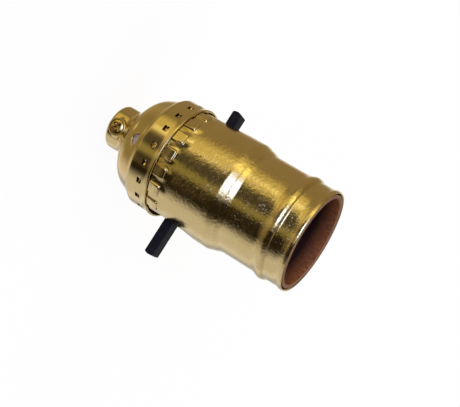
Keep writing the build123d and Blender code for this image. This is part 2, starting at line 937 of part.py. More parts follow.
# Push rod: crowned at both ends, with a notch for the rocker's tip
rod_centre = rod_travel / 2
rod_end = rod_length / 2 - rod_crown
with BuildPart() as push_rod:
    with BuildSketch(Plane.XZ):
        with BuildLine():
            corners = [
                (rod_centre - rod_end, rod_z - rod_thickness / 2),
                (rod_centre + rod_end, rod_z - rod_thickness / 2),
                (rod_centre + rod_end, rod_z + rod_thickness / 2),
                (rod_centre - rod_end, rod_z + rod_thickness / 2),
            ]
            Line(corners[0], corners[1])
            SagittaArc(corners[1], corners[2], -rod_crown)
            Line(corners[2], corners[3])
            SagittaArc(corners[3], corners[0], -rod_crown)
        make_face()
    extrude(amount=rod_width / 2, both=True)
    fillet(push_rod.edges().filter_by(Axis.X), rod_edge)
    with Locations((rod_centre, 0, rod_z - rod_thickness / 2)):
        Box(
            2 * (rocker_tip_radius + notch_gap),
            rocker_thickness + 2 * rocker_side_gap,
            2 * (rocker_mesh + rocker_tip_radius + rod_fit),
            mode=Mode.SUBTRACT,
        )
save(push_rod, "push_rod")

# Rocker: a lever on a cross pin, its tail the moving contact
rocker_plane = Plane(
    origin=(0, 0, pin_z),
    x_dir=(cos(radians(swing)), 0, -sin(radians(swing))),
    z_dir=(0, -1, 0),
)
with BuildPart() as contact_rocker:
    with BuildSketch(rocker_plane):
        Circle(rocker_hub_radius)
        with Locations((0, rocker_arm)):
            Circle(rocker_tip_radius)
        with Locations((0, -rocker_tail)):
            Circle(rocker_tail_radius)
        make_hull()
        Circle(pin_radius + pin_fit, mode=Mode.SUBTRACT)
    extrude(amount=rocker_thickness / 2, both=True)
save(contact_rocker, "contact_rocker")

with BuildPart() as rocker_pin:
    with BuildSketch(Plane.XZ.offset(-pin_end)):
        with Locations((0, pin_z)):
            Circle(pin_radius)
    extrude(amount=pin_end + cavity_half_width + pin_seat)
save(rocker_pin, "rocker_pin")

# Leaf spring on the cover, which bears on the rocker's tail
with BuildPart() as detent_spring:
    with BuildSketch(Plane.XZ):
        with BuildLine():
            reach = cavity_half_length - spring_margin
            FilletPolyline(
                (-reach, spring_foot_z),
                (-reach + spring_margin, spring_foot_z),
                (-tail_reach, spring_z),
                (tail_reach, spring_z),
                (reach - spring_margin, spring_foot_z),
                (reach, spring_foot_z),
                radius=spring_strip,
            )
            offset(amount=spring_strip, side=Side.LEFT)
        make_face()
    extrude(amount=rocker_thickness / 2, both=True)
save(detent_spring, "detent_spring")
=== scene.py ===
import json
from math import cos, degrees, pi, radians, sin, sqrt, tan

import bmesh
import bpy
from mathutils import Matrix, Vector

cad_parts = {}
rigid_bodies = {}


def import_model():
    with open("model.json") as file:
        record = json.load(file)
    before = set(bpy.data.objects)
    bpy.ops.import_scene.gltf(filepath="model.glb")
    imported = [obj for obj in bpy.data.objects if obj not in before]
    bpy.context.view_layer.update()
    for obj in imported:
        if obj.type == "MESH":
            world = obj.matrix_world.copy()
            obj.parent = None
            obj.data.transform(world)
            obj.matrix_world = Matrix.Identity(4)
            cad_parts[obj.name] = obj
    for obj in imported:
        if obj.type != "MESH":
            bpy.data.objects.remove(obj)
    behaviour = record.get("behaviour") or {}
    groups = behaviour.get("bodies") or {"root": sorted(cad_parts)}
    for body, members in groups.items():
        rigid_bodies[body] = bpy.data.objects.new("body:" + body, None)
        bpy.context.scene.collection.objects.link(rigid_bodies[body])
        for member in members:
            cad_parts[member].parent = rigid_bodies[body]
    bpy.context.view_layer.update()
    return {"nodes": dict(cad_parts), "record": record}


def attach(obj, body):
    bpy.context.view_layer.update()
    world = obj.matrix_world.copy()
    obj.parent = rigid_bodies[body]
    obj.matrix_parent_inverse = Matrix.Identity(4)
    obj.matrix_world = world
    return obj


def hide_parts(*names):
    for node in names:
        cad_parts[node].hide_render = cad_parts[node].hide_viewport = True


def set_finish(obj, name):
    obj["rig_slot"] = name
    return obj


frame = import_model()

# Sizes in millimetres and degrees, as in the solids
MM = 0.001
SHEET = 0.45
CROWN_Z = 6.1
CREASE_Z = 17.5
CREASE_RADIUS = 17.05
SHELL_END_Z = 19.45
SKIRT_EDGE_Z = 26.05
SKIRT_RADIUS = 18.2
MOUTH_Z = 73.9
WINDOW_COUNT = 19
WINDOW_ANGLE = -88.0
PITCH = 360 / WINDOW_COUNT
SCREW_ANGLE = -82.0
SCREW_Z = 3.9
ROD_Z = 33.0

# Lines and meshes
LEAST_TURN = 0.01
LAST_STEP_SHARE = 0.3
PLAIN_ROW = 1.5
CRISP_TURN = 40


def smooth_step(low, high, value):
    """0 below low, 1 above high, with a soft change between."""
    share = min(max((value - low) / (high - low), 0.0), 1.0)
    return share * share * (3 - 2 * share)


def off_angle(angle, centre):
    """Signed difference of two angles in degrees."""
    return (angle - centre + 180) % 360 - 180


def polar(radius, turn):
    """Point at a radius and a turn in radians."""
    return radius * cos(turn), radius * sin(turn)


def spun(x, y, turn):
    """Point turned about the origin, in radians."""
    return x * cos(turn) - y * sin(turn), x * sin(turn) + y * cos(turn)


def rounded_line(corners, arc_step):
    """Points along a line through corners (r, z, round), with rounded corners."""
    points = [corners[0][:2]]
    for before, corner, after in zip(corners, corners[1:], corners[2:]):
        here = Vector(corner[:2])
        back = (Vector(before[:2]) - here).normalized()
        on = (Vector(after[:2]) - here).normalized()
        radius = corner[2] if len(corner) > 2 else 0
        turn = pi - back.angle(on)
        if radius == 0 or turn < LEAST_TURN:
            points.append(tuple(here))
            continue
        reach = radius * tan(turn / 2)
        centre = here + (back + on).normalized() * radius / cos(turn / 2)
        start = here + back * reach - centre
        steps = max(2, round(degrees(turn) / arc_step))
        sign = 1 if back.y * on.x - back.x * on.y > 0 else -1
        for i in range(steps + 1):
            x, y = spun(start.x, start.y, sign * turn * i / steps)
            points.append((centre.x + x, centre.y + y))
    points.append(corners[-1][:2])
    return points


def refined(points, step_at):
    """The same line with no points much further apart than step_at(z)."""
    line = [points[0]]
    for low, high in zip(points, points[1:]):
        low = Vector(low)
        high = Vector(high)
        length = (high - low).length
        done = step_at(low.y)
        while done + LAST_STEP_SHARE * step_at(low.lerp(high, done / length).y) < length:
            point = low.lerp(high, done / length)
            line.append(tuple(point))
            done += step_at(point.y)
        line.append(tuple(high))
    return line


def column_angles(radius, spots, plain_step):
    """Angles round the axis with a column at each spot, in mm, of each pitch."""
    angles = []
    gap = radians(PITCH) * radius - (spots[-1] - spots[0])
    count = max(1, round(gap / plain_step))
    marks = spots + [spots[-1] + gap * (j + 1) / count for j in range(count - 1)]
    for i in range(WINDOW_COUNT):
        start = WINDOW_ANGLE + i * PITCH
        angles += [start + degrees(mark / radius) for mark in marks]
    return angles


def even_angles(step):
    """Angles all round the axis, a step in degrees apart."""
    return [i * step for i in range(round(360 / step))]


def mesh_object(name, points, faces):
    """Smooth mesh object from points in millimetres."""
    mesh = bpy.data.meshes.new(name)
    mesh.from_pydata([Vector(point) * MM for point in points], [], faces)
    mesh.update()
    for polygon in mesh.polygons:
        polygon.use_smooth = True
    item = bpy.data.objects.new(name, mesh)
    bpy.context.collection.objects.link(item)
    return item


def grid_face(width, row, next_row, column, next_column):
    """Corners of one face of a grid that is width points wide."""
    return (
        row * width + column,
        row * width + next_column,
        next_row * width + next_column,
        next_row * width + column,
    )


def turned_sheet(name, line, angles, push=None, is_open=None):
    """Grid turned about the axis; push moves points out, is_open leaves faces out."""
    points = []
    for radius, z in line:
        for angle in angles:
            out = radius + (push(angle, z, radius) if push else 0)
            points.append((*polar(out, radians(angle)), z))
    columns = len(angles)
    faces = []
    for row in range(len(line) - 1):
        z = (line[row][1] + line[row + 1][1]) / 2
        for column in range(columns):
            right = (column + 1) % columns
            step = (angles[right] - angles[column]) % 360
            middle = angles[column] + step / 2
            if is_open and is_open(middle, z, line[row][0]):
                continue
            faces.append(grid_face(columns, row, row + 1, column, right))
    item = mesh_object(name, points, faces)
    if is_open:
        remove_loose(item)
    return item


def turned_ring(name, line, count, push=None):
    """Closed ring turned about the axis from a closed outline."""
    points = []
    for radius, z in line:
        for i in range(count):
            turn = 2 * pi * i / count
            out = radius + (push(degrees(turn), z, radius) if push else 0)
            points.append((*polar(out, turn), z))
    rows = len(line)
    faces = []
    for row in range(rows):
        for i in range(count):
            faces.append(grid_face(count, row, (row + 1) % rows, i, (i + 1) % count))
    return mesh_object(name, points, faces)


def remove_loose(item):
    """Remove the points that no face uses."""
    tool = bmesh.new()
    tool.from_mesh(item.data)
    loose = [vertex for vertex in tool.verts if not vertex.link_faces]
    bmesh.ops.delete(tool, geom=loose, context="VERTS")
    tool.to_mesh(item.data)
    tool.free()


def applied(item, kind, **settings):
    """Apply one modifier to an object's mesh."""
    modifier = item.modifiers.new(kind.lower(), kind)
    for key, value in settings.items():
        setattr(modifier, key, value)
    graph = bpy.context.evaluated_depsgraph_get()
    fresh = bpy.data.meshes.new_from_object(item.evaluated_get(graph))
    item.modifiers.clear()
    item.data = fresh


def thickened(item, thickness, offset=-1.0):
    """Give a sheet its thickness, inwards unless offset says otherwise."""
    applied(item, "SOLIDIFY", thickness=thickness * MM, offset=offset)


def crisp(item):
    """Keep the sharper edges crisp under smooth shading."""
    item.data.set_sharp_from_angle(angle=radians(CRISP_TURN))


def cutter(name, outline, low, high, place):
    """Prism of an outline in mm, to cut with."""
    count = len(outline)
    points = [(x, y, low) for x, y in outline] + [(x, y, high) for x, y in outline]
    faces = [tuple(reversed(range(count))), tuple(range(count, 2 * count))]
    faces += [grid_face(count, 0, 1, i, (i + 1) % count) for i in range(count)]
    item = mesh_object(name, points, faces)
    item.matrix_world = place
    return item


def circle(radius, count=32):
    """Outline of a circle."""
    return [polar(radius, 2 * pi * i / count) for i in range(count)]


def cut(item, tool):
    """Cut one object with another and remove the tool."""
    bpy.context.view_layer.update()
    applied(item, "BOOLEAN", object=tool, operation="DIFFERENCE", solver="EXACT")
    bpy.data.objects.remove(tool)


def outwards(angle):
    """Direction straight out from the axis at an angle in degrees."""
    return Vector((*polar(1, radians(angle)), 0))


def side_frame():
    """Place with its own +Z pointing out of the collar along the set screw."""
    out = outwards(SCREW_ANGLE)
    up = Vector((0, 0, 1))
    turn = Matrix((up, out.cross(up), out)).transposed()
    return Matrix.Translation((0, 0, SCREW_Z * MM)) @ turn.to_4x4()


# Shell: pressed pads, flats at the push rod, a shoulder, a rolled bead and a curled rim
EDGE_RADIUS = 17.4
GROOVE_RADIUS = 17.0
BELLY_LOW_RADIUS = 17.62
BELLY_TOP_RADIUS = 17.85
NECK_RADIUS = 16.35
SNAP_LENGTH = 0.9
SNAP_SLOPE = 0.5
GROOVE_BELOW_SKIRT = 1.9
BELLY_BELOW_SKIRT = 0.35
SHOULDER_Z = SKIRT_EDGE_Z + 24.3
BELLY_TOP_Z = SHOULDER_Z - 3.2
BELLY_ROUND = 3.0
NECK_LOW_Z = SHOULDER_Z + 1.3
NECK_ROUND = 2.2
NECK_TOP_Z = MOUTH_Z - 11.4
RIM_LENGTH = 1.9
RIM_RADIUS = 16.68
PAD_WIDTH = 3.9
PAD_LENGTH = 4.3
PAD_HEIGHT = 0.6
PAD_BEVEL = 0.45
PAD_MOUTH_ROUND = 0.8
PAD_SKIRT_ROUND = 0.3
PAD_Z = SKIRT_EDGE_Z + 2.1
PADS_A_SIDE = 7
SWELL_HEIGHT = 0.26
SWELL_FORWARD = 1.2
SWELL_HALF_WIDTH = 2.85
SWELL_HALF_LENGTH = 3.3
SWELL_TOP_SHARE = 0.35
FLAT_X = 16.9
FLAT_STRAIGHT = 5.5
FLAT_LENGTH = 17.5
FLAT_SOFTNESS = 144
FLAT_TURN = 40
ROD_WINDOW_HALF = 2.8
ROD_WINDOW_TOP = ROD_Z + 1.95

# Columns across half a pad in mm, and rows: distance from the pads' middle, spacing
PAD_COLUMNS = [0.0, 0.6, 1.1, 1.45, 1.62, 1.72, 1.82, 1.92, 2.05, 2.25, 2.5]
PAD_ROWS = [(1.5, 0.4), (2.3, 0.12), (4.7, 0.3)]
BELLY_ROW = 0.8
FINE_BELOW_SKIRT = 0.5
COLUMN_RADIUS = 17.6
PLAIN_COLUMN = 0.3

# The shoulder's crease: radius, height over the shoulder
SHOULDER_CREASE = [(17.01, -0.6), (16.99, -0.45), (16.86, -0.15)]

# The curled rim's tip: radius, distance below the mouth
RIM_TIP = [(16.52, 0.1), (16.46, 0.03), (16.36, 0.005)]

# The rolled bead: distance below the mouth, height above the neck
BEAD = [
    (10.9, 0.03),
    (10.4, 0.11),
    (9.9, 0.25),
    (9.4, 0.43),
    (9.0, 0.58),
    (8.6, 0.7),
    (8.2, 0.77),
    (7.9, 0.77),
    (7.6, 0.72),
    (7.3, 0.62),
    (7.0, 0.5),
    (6.85, 0.43),
    (6.65, 0.27),
    (6.45, 0.13),
    (6.25, 0.06),
    (6.0, 0.02),
    (5.7, 0.0),
]


def pad_share(x, y):
    """1 on a pad's flat top, 0 beside it; its mouth corners are rounder."""
    rounding = PAD_MOUTH_ROUND if y > 0 else PAD_SKIRT_ROUND
    over_x = max(0.0, x - PAD_WIDTH / 2 + rounding)
    over_y = max(0.0, abs(y) - PAD_LENGTH / 2 + rounding)
    beyond = sqrt(over_x * over_x + over_y * over_y) - rounding
    return 1 - smooth_step(-PAD_BEVEL, 0, beyond)


def swell_share(x, y):
    """1 in the middle of the swelling round a pad's mouth end, 0 outside it."""
    across = x / SWELL_HALF_WIDTH
    along = (y - SWELL_FORWARD) / SWELL_HALF_LENGTH
    reach = sqrt(across**2 + along**2)
    return 1 - smooth_step(SWELL_TOP_SHARE, 1.0, reach)


def pad_push(angle, z, radius):
    """Height of the nearest pad and of its swelling."""
    best = 0.0
    for side in (WINDOW_ANGLE, WINDOW_ANGLE + 180):
        turn = off_angle(angle, side)
        place = round(turn / PITCH)
        if abs(place) > (PADS_A_SIDE - 1) / 2:
            continue
        off = radians(turn - place * PITCH)
        x = abs(off * radius)
        y = z - PAD_Z
        if abs(y) > 3 * PAD_LENGTH:
            continue
        flat = (radius + PAD_HEIGHT) / cos(off) - radius
        share = pad_share(x, y)
        swelling = SWELL_HEIGHT * swell_share(x, y)
        best = max(best, flat * share + swelling * (1 - share))
    return best


def turn_from_rod(angle):
    """Degrees from the nearer end of the push rod."""
    return min(abs(off_angle(angle, 0)), abs(off_angle(angle, 180)))


def flat_push(angle, z, radius):
    """Depth of the flats where the push rod leaves the shell."""
    if z > SKIRT_EDGE_Z + FLAT_LENGTH:
        return 0.0
    rise = max(0.0, z - SKIRT_EDGE_Z - FLAT_STRAIGHT)
    flat = FLAT_X + rise * rise / FLAT_SOFTNESS
    turn = turn_from_rod(angle)
    if turn > FLAT_TURN:
        return 0.0
    return min(0.0, flat / cos(radians(turn)) - radius)


def shell_push(angle, z, radius):
    return pad_push(angle, z, radius) + flat_push(angle, z, radius)


def rod_window(angle, z, radius):
    """The open slots for the push rod, from the edge up."""
    across = radius * sin(radians(turn_from_rod(angle)))
    return z < ROD_WINDOW_TOP and across < ROD_WINDOW_HALF


def shell_step(z):
    """Spacing of the shell's rows: fine at the pads' ends."""
    if z < SKIRT_EDGE_Z - FINE_BELOW_SKIRT or z > SKIRT_EDGE_Z + FLAT_LENGTH:
        return PLAIN_ROW
    for reach, step in PAD_ROWS:
        if abs(z - PAD_Z) < reach:
            return step
    return BELLY_ROW


def arc_points(low, middle_radius, high, count):
    """Points of a shallow arc from low to high that bulges to a middle radius."""
    rise = middle_radius - (low[0] + high[0]) / 2
    points = []
    for i in range(1, count + 1):
        share = i / count
        bulge = rise * 4 * share * (1 - share)
        radius = low[0] + (high[0] - low[0]) * share + bulge
        points.append((radius, low[1] + (high[1] - low[1]) * share))
    return points


def shell_line():
    """Outline of the shell's outside, from the edge in the cap to the rim."""
    groove_low = SHELL_END_Z + SNAP_LENGTH + SNAP_SLOPE
    groove_top = SKIRT_EDGE_Z - GROOVE_BELOW_SKIRT
    belly_low = SKIRT_EDGE_Z - BELLY_BELOW_SKIRT
    corners = [
        (EDGE_RADIUS, SHELL_END_Z),
        (EDGE_RADIUS, SHELL_END_Z + SNAP_LENGTH),
        (GROOVE_RADIUS, groove_low),
        (GROOVE_RADIUS, groove_top),
        (EDGE_RADIUS, groove_top + SNAP_SLOPE),
        (EDGE_RADIUS, belly_low),
        (BELLY_LOW_RADIUS, belly_low + SNAP_SLOPE / 2),
        (BELLY_TOP_RADIUS, BELLY_TOP_Z, BELLY_ROUND),
    ]
    corners += [(radius, SHOULDER_Z + up) for radius, up in SHOULDER_CREASE]
    corners += [(NECK_RADIUS, NECK_LOW_Z, NECK_ROUND), (NECK_RADIUS, NECK_TOP_Z)]
    line = refined(rounded_line(corners, arc_step=3), shell_step)
    line += [(NECK_RADIUS + out, MOUTH_Z - below) for below, out in BEAD]
    rim_low = (NECK_RADIUS, MOUTH_Z - RIM_LENGTH)
    rim_top, *rim_tip = [(radius, MOUTH_Z - below) for radius, below in RIM_TIP]
    line += arc_points(line[-1], NECK_RADIUS, rim_low, 2)
    line += arc_points(rim_low, RIM_RADIUS, rim_top, 7)
    return line + rim_tip


def make_shell():
    spots = [-spot for spot in PAD_COLUMNS[:0:-1]] + PAD_COLUMNS
    angles = column_angles(COLUMN_RADIUS, spots, PLAIN_COLUMN)
    item = turned_sheet("shell_skin", shell_line(), angles, shell_push, rod_window)
    thickened(item, SHEET)
    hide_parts("shell")
    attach(item, "socket")
    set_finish(item, "brass_plate")


# Cap: windows a little taller, with lower bridges, than in the solids
LIP_RADIUS = 5.7
COLLAR_RADIUS = 7.2
FLARE_RADIUS = 18.62
FLARE_INSIDE = 17.95
FLARE_LENGTH = 1.55
STEP_HEIGHT = 0.95
DOME_RISE = 5.7
DOME_RUN = 2.25
COLLAR_END_ROUND = 1.3
COLLAR_FOOT_ROUND = 2.5
DOME_ROUND = 7.0
CREASE_ROUND = 2.2
STEP_ROUND = 1.0
FLARE_ROUND = 1.5
FLARE_END_ROUND = 0.4
WINDOW_WIDTH = 1.9
WINDOW_HEIGHT = 1.6
WINDOW_Z = SKIRT_EDGE_Z - 3.3
WINDOW_COLUMNS = [-0.95, -0.75, -0.55, -0.3, -0.15, 0.15, 0.3, 0.55, 0.75, 0.95]
WINDOW_MARGIN = 0.2
BRIDGE_HEIGHT = 0.55
BRIDGE_DROP = 0.55
BRIDGE_FLAT_HALF = 0.15
BRIDGE_SLACK = 0.01
CAP_ROW = 0.8
CAP_COLUMN = 0.5


def window_place(angle, radius):
    """Distance along the skirt from the nearest window's middle."""
    turn = off_angle(angle, WINDOW_ANGLE)
    return radians(turn - round(turn / PITCH) * PITCH) * radius


def cap_push(angle, z, radius):
    """Depth of the bridges pressed inwards in the windows."""
    if abs(z - WINDOW_Z) > BRIDGE_HEIGHT / 2 + BRIDGE_SLACK:
        return 0.0
    x = abs(window_place(angle, radius))
    return -BRIDGE_DROP * (1 - smooth_step(BRIDGE_FLAT_HALF, WINDOW_WIDTH / 2, x))


def cap_open(angle, z, radius):
    """The two slits of each window."""
    if radius < GROOVE_RADIUS:
        return False
    y = abs(z - WINDOW_Z)
    x = abs(window_place(angle, radius))
    return BRIDGE_HEIGHT / 2 < y < WINDOW_HEIGHT / 2 and x < WINDOW_WIDTH / 2


def cap_line():
    """Outline of the cap's outside, from the collar's lip to the skirt's edge."""
    corners = [
        (LIP_RADIUS, 0),
        (COLLAR_RADIUS, 0, COLLAR_END_ROUND),
        (COLLAR_RADIUS, CROWN_Z, COLLAR_FOOT_ROUND),
        (CREASE_RADIUS - DOME_RUN, CREASE_Z - DOME_RISE, DOME_ROUND),
        (CREASE_RADIUS, CREASE_Z, CREASE_ROUND),
        (SKIRT_RADIUS, CREASE_Z + STEP_HEIGHT, STEP_ROUND),
        (SKIRT_RADIUS, SKIRT_EDGE_Z - FLARE_LENGTH, FLARE_ROUND),
        (FLARE_RADIUS, SKIRT_EDGE_Z, FLARE_END_ROUND),
        (FLARE_INSIDE, SKIRT_EDGE_Z),
    ]
    line = refined(rounded_line(corners, arc_step=6), lambda z: CAP_ROW)
    reach = WINDOW_HEIGHT / 2
    bridge = BRIDGE_HEIGHT / 2
    low = [point for point in line if point[1] < WINDOW_Z - reach - WINDOW_MARGIN]
    high = [point for point in line if point[1] > WINDOW_Z + reach + WINDOW_MARGIN]
    slits = [(SKIRT_RADIUS, WINDOW_Z + mark) for mark in (-reach, -bridge, bridge, reach)]
    return low + slits + high


def make_cap():
    angles = column_angles(SKIRT_RADIUS, WINDOW_COLUMNS, CAP_COLUMN)
    item = turned_sheet("cap_skin", cap_line(), angles, cap_push, cap_open)
    thickened(item, SHEET)
    cut_cap(item)
    crisp(item)
    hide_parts("cap")
    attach(item, "socket")
    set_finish(item, "brass_plate")


# Boss round the set screw: distance from the screw's axis, from the collar's axis, rounding
BOSS_OUTSIDE = [(3.6, 6.3), (2.9, 6.8, 0.7), (2.9, 8.3, 0.24), (2.4, 8.3)]
BOSS_INSIDE = [(2.4, 5.9), (3.3, 5.9)]
BOSS_CUT_RADIUS = 2.5
BOSS_CUT_REACH = (4, 9)


def make_boss():
    """The cap's boss, turned about the screw's own axis."""
    section = rounded_line(BOSS_OUTSIDE, arc_step=10) + BOSS_INSIDE
    boss = turned_ring("cap_boss", section, 64)
    crisp(boss)
    boss.matrix_world = side_frame()
    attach(boss, "socket")
    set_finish(boss, "brass_plate")


# Half-moon opening in the dome
MOON_ANGLE = -83.0
MOON_BELOW_CREASE = 1.1
MOON_RADIUS = 2.0
MOON_CUT_DEPTH = 1.2
MOON_LIP = [(0.0, -0.3), (0.5, -0.3), (0.48, 0.0), (0.36, 0.2), (0.18, 0.24), (0.0, 0.1)]
MOON_LIP_FOOT = -0.3
MOON_LIP_FADE = 25


def moon_frame():
    """Place on the dome at the half-moon opening, +X towards the skirt."""
    out = outwards(MOON_ANGLE)
    along = (out * DOME_RUN + Vector((0, 0, DOME_RISE))).normalized()
    normal = (out * DOME_RISE - Vector((0, 0, DOME_RUN))).normalized()
    across = normal.cross(along)
    turn = Matrix((along, across, normal)).transposed()
    spot = out * (CREASE_RADIUS - MOON_BELOW_CREASE * DOME_RUN / DOME_RISE)
    spot += Vector((0, 0, CREASE_Z - MOON_BELOW_CREASE))
    return Matrix.Translation(spot * MM) @ turn.to_4x4()


def cut_cap(item):
    """Cut the half-moon opening and the hole under the boss."""
    half_moon = [polar(MOON_RADIUS, radians(turn)) for turn in range(90, 271, 10)]
    depth = MOON_CUT_DEPTH
    cut(item, cutter("moon_tool", half_moon, -depth, depth, moon_frame()))
    cut(item, cutter("boss_tool", circle(BOSS_CUT_RADIUS), *BOSS_CUT_REACH, side_frame()))


def make_moon_lip():
    """Rim of the half-moon opening, turned up along its round side."""
    turns = range(90, 271, 6)
    points = []
    for turn in turns:
        fade = min(1.0, (90 - abs(turn - 180)) / MOON_LIP_FADE)
        for out, up in MOON_LIP:
            height = up if up < 0 else up * fade + MOON_LIP_FOOT * (1 - fade)
            points.append((*polar(MOON_RADIUS + out, radians(turn)), height))
    size = len(MOON_LIP)
    faces = []
    for row in range(len(turns) - 1):
        faces += [grid_face(size, row, row + 1, i, (i + 1) % size) for i in range(size)]
    faces.append(tuple(reversed(range(size))))
    faces.append(tuple(range(len(points) - size, len(points))))
    item = mesh_object("moon_lip", points, faces)
    item.matrix_world = moon_frame()
    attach(item, "socket")
    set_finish(item, "brass_plate")


# Board liner in the shell
LINER_RADIUS = 15.65
LINER_LOW_Z = SHELL_END_Z + 0.6
LINER_TOP_Z = MOUTH_Z - 0.12
LINER_THICKNESS = 1.1
LINER_ROW = 1.2
LINER_COLUMN = 1.5


def make_liner():
    ends = [(LINER_RADIUS, LINER_LOW_Z), (LINER_RADIUS, LINER_TOP_Z)]
    line = refined(ends, lambda z: LINER_ROW)
    item = turned_sheet("liner_skin", line, even_angles(LINER_COLUMN), is_open=rod_window)
    thickened(item, LINER_THICKNESS)
    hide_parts("shell_liner")
    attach(item, "socket")
    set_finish(item, "liner_board")


# Set screw: radius, distance from the collar's axis, rounding
SCREW_HEAD = [(0.01, 8.63), (1.4, 8.58, 2.0), (2.3, 8.2, 0.3), (2.3, 7.38)]
SCREW_SHANK = [(1.75, 7.38), (1.75, 5.5), (1.45, 5.2), (0.01, 5.2)]

# Its four-petal recess: half width, length and height of each wedge's two ends
PETAL_SECTIONS = [(0.46, 1.7, 8.75), (0.36, 1.45, 7.5)]
PETAL_ROOT_SHARE = 0.6
RECESS_RADIUS = 0.4
RECESS_REACH = (7.7, 9.5)


def recess_petal(degree):
    """Wedge that cuts one petal, wide at the head's face and narrow below."""
    points = []
    for half, reach, z in PETAL_SECTIONS:
        root = half * PETAL_ROOT_SHARE
        for x, y in ((0.0, -root), (reach, -half), (reach, half), (0.0, root)):
            points.append((*spun(x, y, radians(degree)), z))
    faces = [(0, 1, 2, 3), (7, 6, 5, 4)]
    faces += [(i, 4 + i, 4 + (i + 1) % 4, (i + 1) % 4) for i in range(4)]
    tool = mesh_object("petal_tool", points, faces)
    tool.matrix_world = side_frame()
    return tool


def make_set_screw():
    line = rounded_line(SCREW_HEAD, arc_step=8) + SCREW_SHANK
    item = turned_ring("set_screw_body", line, 48)
    item.matrix_world = side_frame()
    for degree in (45, 135, 225, 315):
        cut(item, recess_petal(degree))
    cut(item, cutter("recess_tool", circle(RECESS_RADIUS, 12), *RECESS_REACH, side_frame()))
    crisp(item)
    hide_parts("set_screw")
    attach(item, "collar_screw")
    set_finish(item, "screw_brass")


# Screw shell: a drawn cup with the rolled thread for the lamp
LAMP_PITCH = 3.63
LAMP_DEPTH = 0.72
CUP_FOOT_Z = 43.4
CUP_TOP_Z = CUP_FOOT_Z + 20.5
CUP_WALL_Z = CUP_FOOT_Z + 4.2
CUP_CORNERS = [
    (5.59, CUP_FOOT_Z),
    (12.75, CUP_FOOT_Z, 1.0),
    (12.75, CUP_FOOT_Z + 3.8, 0.2),
    (13.15, CUP_WALL_Z, 0.4),
    (13.15, CUP_TOP_Z - 0.7, 0.35),
    (13.85, CUP_TOP_Z),
]
CUP_THICKNESS = 0.3
CUP_ROW = 0.3
CUP_COLUMN = 2.5
THREAD_LOW_Z = CUP_FOOT_Z + 4.6
THREAD_HIGH_Z = CUP_TOP_Z - 1.0
RIVET_REACH = 6.498
RIVET_HOLE = 1.25
RIVET_CUT_REACH = (-1, 1)


def thread_push(angle, z, low, high, pitch, depth):
    """Depth of a right-handed rounded thread that fades out at both ends."""
    wave = 0.5 - 0.5 * cos(2 * pi * (z / pitch - angle / 360))
    fade = smooth_step(low, low + pitch, z) * (1 - smooth_step(high - pitch, high, z))
    return depth * wave * fade


def cup_push(angle, z, radius):
    return thread_push(angle, z, THREAD_LOW_Z, THREAD_HIGH_Z, LAMP_PITCH, LAMP_DEPTH)


def make_screw_shell():
    line = rounded_line(CUP_CORNERS, arc_step=20)
    line = refined(line, lambda z: CUP_ROW if z > CUP_WALL_Z else PLAIN_ROW)
    item = turned_sheet("screw_shell_skin", line, even_angles(CUP_COLUMN), cup_push)
    thickened(item, CUP_THICKNESS, offset=1.0)
    for reach in (-RIVET_REACH, RIVET_REACH):
        spot = Matrix.Translation(Vector((reach, reach, CUP_FOOT_Z)) * MM)
        cut(item, cutter("rivet_tool", circle(RIVET_HOLE, 24), *RIVET_CUT_REACH, spot))
    crisp(item)
    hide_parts("screw_shell")
    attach(item, "socket")
    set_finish(item, "spring_brass")


# Bushing: turned, with its pipe thread and the set screw's hole
PIPE_PITCH = 25.4 / 27
PIPE_DEPTH = 0.42
PIPE_RADIUS = 4.57
PIPE_SLACK = 0.03
PIPE_ROW = 0.16
PIPE_CHAMFER = 0.4
THREAD_MARGIN = 0.2
BUSHING_TOP_Z = 8.385
FLANGE_LOW_Z = BUSHING_TOP_Z - 1
BUSHING_OUTSIDE = [
    (PIPE_RADIUS + PIPE_CHAMFER, 0),
    (5.68, 0),
    (5.68, 0.47),
    (5.43, 0.47),
    (6.73, 1.75),
    (6.73, FLANGE_LOW_Z),
    (8.03, FLANGE_LOW_Z),
    (8.03, BUSHING_TOP_Z),
    (PIPE_RADIUS + PIPE_CHAMFER, BUSHING_TOP_Z),
]
SHANK_HOLE = 1.8
SHANK_CUT_REACH = (3, 8.5)


def bushing_push(angle, z, radius):
    if radius > PIPE_RADIUS + PIPE_SLACK:
        return 0.0
    end = BUSHING_TOP_Z - THREAD_MARGIN
    return thread_push(angle, z, THREAD_MARGIN, end, PIPE_PITCH, PIPE_DEPTH)


def make_bushing():
    wall = [(PIPE_RADIUS, BUSHING_TOP_Z - PIPE_CHAMFER), (PIPE_RADIUS, PIPE_CHAMFER)]
    line = refined(wall, lambda z: PIPE_ROW) + BUSHING_OUTSIDE
    item = turned_ring("bushing_body", line, 96, bushing_push)
    cut(item, cutter("shank_tool", circle(SHANK_HOLE), *SHANK_CUT_REACH, side_frame()))
    crisp(item)
    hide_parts("cap_bushing")
    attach(item, "socket")
    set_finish(item, "turned_brass")


# Materials; the colour sockets of a Mix node share their names, so they go by number
MIX_SHARE = 0
MIX_FIRST = 6
MIX_SECOND = 7
MIX_RESULT = 2


